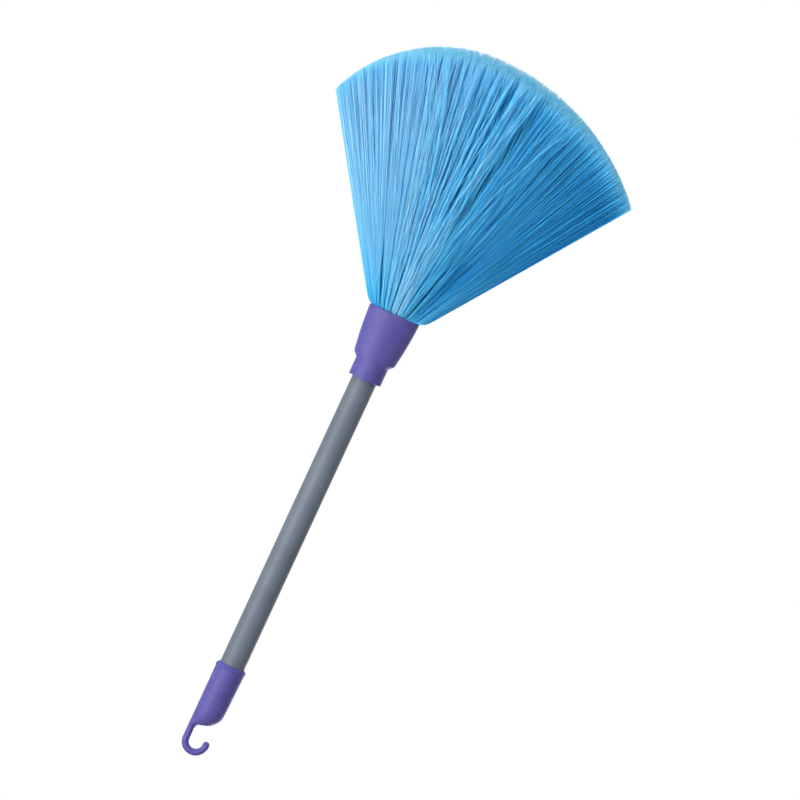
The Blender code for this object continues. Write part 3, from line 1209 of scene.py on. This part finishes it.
    def trim(self, across: np.ndarray) -> np.ndarray:
        """Give how far past the mouth the fan is cut.

        Args:
            across: Points, with X and Y last.

        Returns:
            The distance at each.
        """
        x, y = across[..., 0] - self.tip_offset, across[..., 1]
        arc = np.where(x > 0, self.strap_side_arc, self.open_side_arc)
        drop = arc - np.sqrt(np.maximum(arc ** 2 - x ** 2, 0))
        depth_drop = self.depth_arc - np.sqrt(np.maximum(self.depth_arc ** 2 - y ** 2, 0))
        return self.tip_reach - drop - depth_drop

    def lengths(self, place: np.ndarray) -> np.ndarray:
        """Find how far past the mouth fibres are cut, by halving.

        Args:
            place: The place of each fibre in the disc.

        Returns:
            The distance of each.
        """
        near, far = np.zeros(len(place)), np.full(len(place), self.tip_reach)
        for _ in range(self.trim_halvings):
            middle = (near + far) / 2
            inside = middle < self.trim(self.spread(place, middle))
            near = np.where(inside, middle, near)
            far = np.where(inside, far, middle)
        return near

    def nearest(self, points: np.ndarray, middles: np.ndarray) -> np.ndarray:
        """Find the nearest middle of each point.

        Args:
            points: X and Y of each point.
            middles: X and Y of each middle.

        Returns:
            The number of the nearest middle, for each point.
        """
        tree = KDTree(len(middles))
        for index, (x, y) in enumerate(middles):
            tree.insert((x, y, 0), index)
        tree.balance()
        return np.array([tree.find((x, y, 0))[1] for x, y in points])

    def stir(self, middles: np.ndarray) -> np.ndarray:
        """Give how far bundles stir: those in the middle of the fan do, and a few beside it.

        Args:
            middles: The place of each bundle in the disc.

        Returns:
            A share for each bundle.
        """
        away = (middles[:, 0] - self.unrest_middle) / self.unrest_width
        stir = self.calm + (1 - self.calm) * np.exp(-away * away)
        restless = self.random.random(len(middles)) < self.restless
        return np.where(restless, np.maximum(stir, self.restless_stir), stir)

    def gathered(
        self, place: np.ndarray, loose: np.ndarray,
    ) -> tuple[np.ndarray, np.ndarray, list[np.ndarray], list[np.ndarray]]:
        """Draw the fibres into pinches, the pinches into wisps and the wisps into locks.

        Args:
            place: Where each fibre leaves the mouth, in the disc.
            loose: Whether each fibre hardly joins in, and fills the gaps.

        Returns:
            The place and the tone of each fibre at each station, with its painted glints and the
            painted shade and light of the partings, and for each gathering the bundle of each
            fibre and how far it stirs.
        """
        stations = np.array(self.stations)
        rim = 1 - self.rim_hold * eased(np.abs(place[:, 0]), self.rim_start, 1.0)
        path = np.repeat(place[:, None, :], len(stations), axis=1)
        tone = self.random.normal(0, self.dye_spread, len(place))
        points = place
        bundle = np.arange(len(place))
        bundles = []
        stirs = []
        for gathering in (self.pinches, self.wisps, self.locks):
            middles = self.sunflower(gathering.count, self.bundle_jitter)
            joined = self.nearest(points, middles)
            away = (middles[joined] - points)[bundle]
            bundle = joined[bundle]
            stir = self.stir(middles)[bundle]
            joining = rim if gathering.whole else rim * stir * np.where(loose, self.loose_hold, 1)
            shares, pulls = zip(*gathering.pull)
            pull = np.interp(stations, shares, pulls)[None, :] * joining[:, None]
            path += away[:, None, :] * pull[..., None]
            points = middles
            stray = self.random.normal(0, 1, (gathering.count, 2))
            stray *= (gathering.drift, gathering.lift)
            ramp = stations[None, :] ** self.drift_power * joining[:, None]
            path += stray[bundle][:, None, :] * ramp[..., None]
            tone += self.random.normal(0, gathering.tone, gathering.count)[bundle] * stir
            bundles.append(bundle)
            stirs.append(stir)
        # Painted glints: the tone wavers along each fibre, more where bundles stir. They join the
        # painted shade and light of the partings and the random dye tone
        shine = self.calm_painted_glint + (1 - self.calm_painted_glint) * stirs[0]
        painted_glints = self.random.normal(0, self.painted_glint, path.shape[:2]) * shine[:, None]
        tones = self.part(path) + tone[:, None] + painted_glints
        size = np.linalg.norm(path, axis=2, keepdims=True)
        limit = 1 + self.middle_room * (1 - np.abs(path[..., :1]))
        return path / np.maximum(size / limit, 1), tones, bundles, stirs

    def part(self, path: np.ndarray) -> np.ndarray:
        """Open the partings: fibres beside one are pushed aside, and those on it pressed in.

        Args:
            path: The place of each fibre at each station, which is changed.

        Returns:
            How much paler each fibre is painted at each station: painted shade in the valleys
            and painted light on the ridges.
        """
        stations = np.array(self.stations)
        tones = np.zeros(path.shape[:2])
        for parting in self.partings:
            line = parting.mouth + (parting.tip - parting.mouth) * stations[None, :]
            start, end, sign = parting.start, parting.end, parting.side.value
            open_share = eased(stations, start - self.opening, start + self.opening)
            open_share = open_share * (1 - eased(stations, end - self.closing, end))
            away = (path[..., 0] - line) / parting.width
            near = np.exp(-away * away) * open_share[None, :]
            near = near * eased(sign * path[..., 1], *self.parting_reach)
            aside = np.tanh(self.push_edge * away) * near
            path[..., 0] += aside * max(parting.depth, 0) * self.push
            path[..., 1] -= sign * near * parting.depth
            # Painted shade in a valley, painted light on a ridge
            tones += near * parting.tone
        return tones

    def waves(self, along: np.ndarray, bundle: np.ndarray, count: int, length: float) -> np.ndarray:
        """Give each bundle a wave of its own.

        Args:
            along: How far past the mouth each point of each fibre is.
            bundle: The bundle of each fibre.
            count: How many bundles there are.
            length: The wave's usual length.

        Returns:
            The shift of each point, from -1 to 1.
        """
        phase = self.random.uniform(0, math.tau, count)[bundle][:, None]
        pitch = self.random.uniform(*self.wave_lengths, count)[bundle][:, None] * length
        size = self.random.uniform(*self.wave_heights, count)[bundle][:, None]
        return size * np.sin(math.tau * along / pitch + phase)

    def paths(self) -> tuple[np.ndarray, np.ndarray, np.ndarray]:
        """Lay every fibre.

        Returns:
            The points of each fibre from its root to its tip, the place in the disc where it
            leaves the mouth, and the tone of each point.
        """
        place = self.sunflower(self.fibres, self.fibre_jitter, self.crowding)
        loose = self.random.random(self.fibres) < self.loose
        place *= np.where(loose, 1 - self.loose_inset, 1.0)[:, None]
        wild = (self.random.random(self.fibres) < self.wild) & ~loose
        path, tones, bundles, stirs = self.gathered(place, loose)
        length = self.lengths(path[:, -1])
        length += self.random.normal(0, self.trim_spread, self.fibres)
        stations = np.array(self.stations)
        distance = length[:, None] * stations[None, :]
        across = self.spread(path, distance)
        ramp = eased(distance, 0.0, self.wave_start)
        ramp = ramp * (1 - eased(np.abs(place[:, :1]), self.edge_start, 1.0) * self.edge_calm)
        ramp = ramp * np.where(wild, self.wild_scale, 1.0)[:, None]
        ramp = ramp * np.where(loose, self.loose_wave, 1.0)[:, None]
        for gathering, bundle, stir in zip((self.pinches, self.wisps), bundles, stirs):
            for axis, height in ((0, gathering.sway_mm), (1, gathering.weave_mm)):
                wave = self.waves(distance, bundle, gathering.count, gathering.wave_mm * MM)
                across[..., axis] += wave * ramp * stir[:, None] * height * MM
        single = np.arange(self.fibres)
        for axis in (0, 1):
            wave = self.waves(distance, single, self.fibres, self.fuzz_wave_mm * MM)
            across[..., axis] += wave * ramp * stirs[0][:, None] * self.fuzz_mm * MM
        points = np.concatenate((across, (self.mouth - distance)[..., None]), axis=2)
        root = np.stack((
            place[:, 0] * self.root_half_width,
            place[:, 1] * self.root_half_depth,
            np.full(self.fibres, self.root_height),
        ), axis=1)
        tones += self.base_tone + np.where(wild, self.wild_tone, 0.0)[:, None]
        # Painted light and shade: the strap side, where the key lamp stands, is painted paler and
        # the open side darker, less so near the mouth
        side = self.painted_side_light * np.tanh((place[:, :1] - self.side_light_middle) / self.side_light_width)
        # Painted light at the mouth: a painted highlight in its middle and painted shade at its
        # sides
        middle = np.exp(-(place[:, :1] / self.mouth_width) ** 2) - self.mouth_level
        near = np.exp(-distance / self.mouth_reach)
        tones += side * (1 - near) + self.painted_mouth_light * middle * near
        # Painted light at the tips: they blend to a pale tone, as thin lit ends would show
        tones += (self.painted_tip_light - tones) * eased(stations, self.tip_start, 1.0)[None, :]
        tones = np.clip(np.concatenate((tones[:, :1], tones), axis=1), 0, 1)
        return np.concatenate((root[:, None, :], points), axis=1), place, tones

    def tuft_of(self, place: np.ndarray) -> np.ndarray:
        """Find which tuft places in the disc belong to, by stretching the disc to a square.

        Args:
            place: The places, one a row.

        Returns:
            The number of each one's tuft, counted row by row.
        """
        turn = -math.radians(self.row_turn)
        x = place[:, 0] * math.cos(turn) - place[:, 1] * math.sin(turn)
        y = place[:, 0] * math.sin(turn) + place[:, 1] * math.cos(turn)
        column = ((squared(x, y) + 1) / 2 * self.columns).astype(int)
        row = ((squared(y, x) + 1) / 2 * len(Row)).astype(int)
        column = np.clip(column, 0, self.columns - 1)
        return np.clip(row, 0, len(Row) - 1) * self.columns + column

    def tuft_mesh(self, name: str, paths: np.ndarray, tone: np.ndarray) -> bpy.types.Mesh:
        """Build the fibres of one tuft as three-sided tubes that narrow to their tips.

        Args:
            name: The mesh's name.
            paths: The points of each fibre.
            tone: The tone of each point.

        Returns:
            The mesh, with the tones and with a map for baking in which each fibre has a strip.
        """
        count, rings, _ = paths.shape
        sides = 3
        run = np.gradient(paths, axis=1)
        run /= np.linalg.norm(run, axis=2, keepdims=True)
        side = np.cross(run, np.array((0.0, 1.0, 0.0)))
        side /= np.linalg.norm(side, axis=2, keepdims=True)
        out = np.cross(run, side)
        shares, widths = zip(*self.widths_mm)
        width = np.interp((0.0, *self.stations), shares, widths)
        radius = width[None, :, None, None] * MM / 2
        twist = self.random.uniform(0, math.tau, (count, 1, 1, 1))
        angle = np.arange(sides)[None, None, :, None] * math.tau / sides + twist
        points = paths[:, :, None, :] + radius * (
            side[:, :, None, :] * np.cos(angle) + out[:, :, None, :] * np.sin(angle)
        )
        fibre, ring, corner = np.meshgrid(
            np.arange(count), np.arange(rings - 1), np.arange(sides), indexing="ij",
        )
        following = (corner + 1) % sides
        base = (fibre * rings + ring) * sides
        quads = np.stack(
            (base + corner, base + following, base + sides + following, base + sides + corner),
            axis=-1,
        ).reshape(-1, 4)
        first = np.arange(count) * rings * sides
        ends = np.concatenate((
            np.stack((first + 2, first + 1, first), axis=1),
            np.stack((first, first + 1, first + 2), axis=1) + (rings - 1) * sides,
        ))
        mesh = bpy.data.meshes.new(name)
        mesh.vertices.add(count * rings * sides)
        mesh.vertices.foreach_set("co", points.astype(np.float32).ravel())
        corners = np.concatenate((quads.ravel(), ends.ravel()))
        mesh.loops.add(len(corners))
        mesh.loops.foreach_set("vertex_index", corners.astype(np.int32))
        sizes = np.concatenate((np.full(len(quads), 4), np.full(len(ends), 3)))
        starts = np.concatenate(((0,), np.cumsum(sizes)[:-1]))
        mesh.polygons.add(len(sizes))
        mesh.polygons.foreach_set("loop_start", starts.astype(np.int32))
        mesh.polygons.foreach_set("loop_total", sizes.astype(np.int32))
        mesh.update(calc_edges=True)
        mesh.shade_smooth()
        shade = mesh.attributes.new(TONE, "FLOAT", "POINT")
        shade.data.foreach_set("value", np.repeat(tone, sides).astype(np.float32))
        self.add_bake_map(mesh, fibre, ring, corner)
        return mesh

    def add_bake_map(
        self, mesh: bpy.types.Mesh, fibre: np.ndarray, ring: np.ndarray, corner: np.ndarray,
    ) -> None:
        """Give each fibre a strip of its own in the map that a bake uses.

        Args:
            mesh: The tuft's mesh.
            fibre: The fibre of each four-sided face, by fibre, ring and side.
            ring: The ring that each of these faces starts from.
            corner: The side of its fibre that each is on.
        """
        count, steps, sides = fibre.shape
        slimness, margin = 6, 0.1
        strips = math.ceil(math.sqrt(count * slimness))
        rows = math.ceil(count / strips)
        inside = 1 - 2 * margin
        left = fibre % strips + margin + inside * corner / sides
        right = left + inside / sides
        low = fibre // strips + margin + inside * ring / steps
        high = low + inside / steps
        quads = np.stack((left, low, right, low, right, high, left, high), axis=-1).reshape(-1, 2)
        first = np.arange(count)
        ends = []
        for level_share in (margin, 1 - margin):
            for step in range(sides):
                ends.append((first % strips + margin * step, first // strips + level_share))
        root = np.stack([np.stack(pair, axis=1) for pair in ends[:sides]], axis=1).reshape(-1, 2)
        tip = np.stack([np.stack(pair, axis=1) for pair in ends[sides:]], axis=1).reshape(-1, 2)
        where = np.concatenate((quads, root, tip)) / (strips, rows)
        layer = mesh.uv_layers.new(name=BAKE_MAP)
        layer.data.foreach_set("uv", where.astype(np.float32).ravel())

    def build(self, finish: bpy.types.Material) -> None:
        """Build one piece of fibres for each tuft.

        Args:
            finish: Their material.
        """
        paths, place, tone = self.paths()
        tufts = self.tuft_of(place)
        for row in Row:
            for column in range(self.columns):
                mine = tufts == row.value * self.columns + column
                label = f"{row.name.lower()}_{self.columns - column}"
                mesh = self.tuft_mesh(f"fibres_{label}", paths[mine], tone[mine])
                piece = add_object(mesh.name, mesh)
                settle(piece, [f"tuft_{label}"], finish)


@dataclass(frozen=True)
class Lamp:
    """A soft box of the studio.

    Attributes:
        name: Its name.
        left: Degrees to the left of the camera, as the photograph is turned.
        above: Degrees above the camera, as the photograph is turned.
        distance: How far it stands from the duster.
        size: Its width and height.
        power: Its power in watts.
    """

    name: str
    left: float
    above: float
    distance: float
    size: float
    power: float


@dataclass
class Studio:
    """The camera of the photograph, soft lamps, a white surrounding and a pale floor.

    Attributes:
        turn: How far the handle leans in the photograph, which shows the head up, in degrees.
        tilt: How far up the camera looks, in degrees.
        aim: The point that it looks at.
        frame_width: The width that it sees there.
        distance: How far from there it stands.
        sensor_mm: The width of its sensor.
        clip_end: How far it sees.
        ambient: The strength of the surrounding on matt faces. The camera sees it at 1.
        floor_drop: How far below the head the floor is.
        floor_size: The length of the floor's sides.
        bounces: How often light may bounce.
        lamps: The soft boxes.
    """

    turn: float = 24.84
    tilt: float = 2.5
    aim: tuple[float, float, float] = (-0.0347, 0.0, -0.3442)
    frame_width: float = 0.6816
    distance: float = 8.0
    sensor_mm: float = 36.0
    clip_end: float = 50.0
    ambient: float = 0.45
    floor_drop: float = 0.20
    floor_size: float = 6.0
    bounces: int = 24
    lamps: tuple[Lamp, ...] = (
        Lamp("key", 42.0, 9.0, 1.6, 0.8, 34.0),
        Lamp("back", 180.0, -35.0, 1.6, 0.9, 38.0),
    )

    def axes(self) -> Matrix:
        """Give the camera's turn.

        Returns:
            Its right, its up and the way back to it, as columns.
        """
        turn, tilt = math.radians(self.turn), math.radians(self.tilt)
        level_up = Vector((0, -math.sin(tilt), math.cos(tilt)))
        across = Vector((1, 0, 0))
        right = -math.cos(turn) * across - math.sin(turn) * level_up
        up = math.sin(turn) * across - math.cos(turn) * level_up
        back = Vector((0, -math.cos(tilt), -math.sin(tilt)))
        return Matrix((right, up, back)).transposed()

    def add_camera(self) -> None:
        """Add the camera, far off with a long lens, as the photograph's parallel lines ask."""
        data = bpy.data.cameras.new("photograph")
        data.sensor_width = self.sensor_mm
        data.lens = self.sensor_mm * self.distance / self.frame_width
        data.clip_end = self.clip_end
        axes = self.axes()
        camera = add_object("photograph", data)
        camera.matrix_world = (
            Matrix.Translation(Vector(self.aim) + axes.col[2] * self.distance) @ axes.to_4x4()
        )
        bpy.context.scene.camera = camera

    def add_lamps(self) -> None:
        """Add the soft boxes, each turned to the duster."""
        axes = self.axes()
        for lamp in self.lamps:
            left, above = math.radians(lamp.left), math.radians(lamp.above)
            way = axes @ Vector((
                -math.sin(left) * math.cos(above), math.sin(above),
                math.cos(left) * math.cos(above),
            ))
            data = bpy.data.lights.new(lamp.name, "AREA")
            data.shape = "SQUARE"
            data.size = lamp.size
            data.energy = lamp.power
            holder = add_object(lamp.name, data)
            holder.matrix_world = (
                Matrix.Translation(Vector(self.aim) + way * lamp.distance)
                @ way.to_track_quat("Z", "Y").to_matrix().to_4x4()
            )

    def add_world(self) -> None:
        """Surround the duster with white, and with a dimmer even light on its matt faces."""
        world = bpy.data.worlds.new("studio")
        world.use_nodes = True
        tree = world.node_tree
        tree.nodes.clear()
        strength = add_node(
            tree, "ShaderNodeMapRange", {"To Min": self.ambient, "To Max": 1.0},
            {"Value": seen_directly(tree)},
        )
        background = add_node(
            tree, "ShaderNodeBackground", {"Color": (1, 1, 1, 1)},
            {"Strength": strength.outputs["Result"]},
        )
        add_node(
            tree, "ShaderNodeOutputWorld", links={"Surface": background.outputs["Background"]},
        )
        bpy.context.scene.world = world

    def add_floor(self) -> None:
        """Add the pale floor under the head."""
        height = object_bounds()[0].z - self.floor_drop
        half = self.floor_size / 2
        mesh = bpy.data.meshes.new("floor")
        mesh.from_pydata(
            [(-half, -half, height), (half, -half, height), (half, half, height),
             (-half, half, height)],
            [], [(0, 1, 2, 3)],
        )
        mesh.materials.append(MattPaper().material())
        add_object("floor", mesh)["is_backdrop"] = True

    def build(self) -> None:
        """Set up the studio and how the picture is developed."""
        self.add_camera()
        self.add_lamps()
        self.add_world()
        self.add_floor()
        bpy.context.scene.view_settings.view_transform = "Standard"
        # Light crosses many pale fibres before it leaves the fan, and loses little blue on the way
        bpy.context.scene.cycles.max_bounces = self.bounces
        bpy.context.scene.cycles.diffuse_bounces = self.bounces
        LOG.info("studio: %d lamps", len(self.lamps))


def main() -> None:
    """Dress the duster."""
    logging.basicConfig(level=logging.INFO, format="%(name)s: %(message)s")
    plastic = MouldedPolypropylene().material()
    Handle().build(PowderCoatedSteel().material())
    HookCap().build(plastic)
    Ferrule().build(plastic)
    Binding().dress(HotMeltGlue().material(), ZincPlatedStrip().material())
    Fan().build(DrawnPolyester().material())
    Studio().build()


if __name__ == "__main__":
    main()
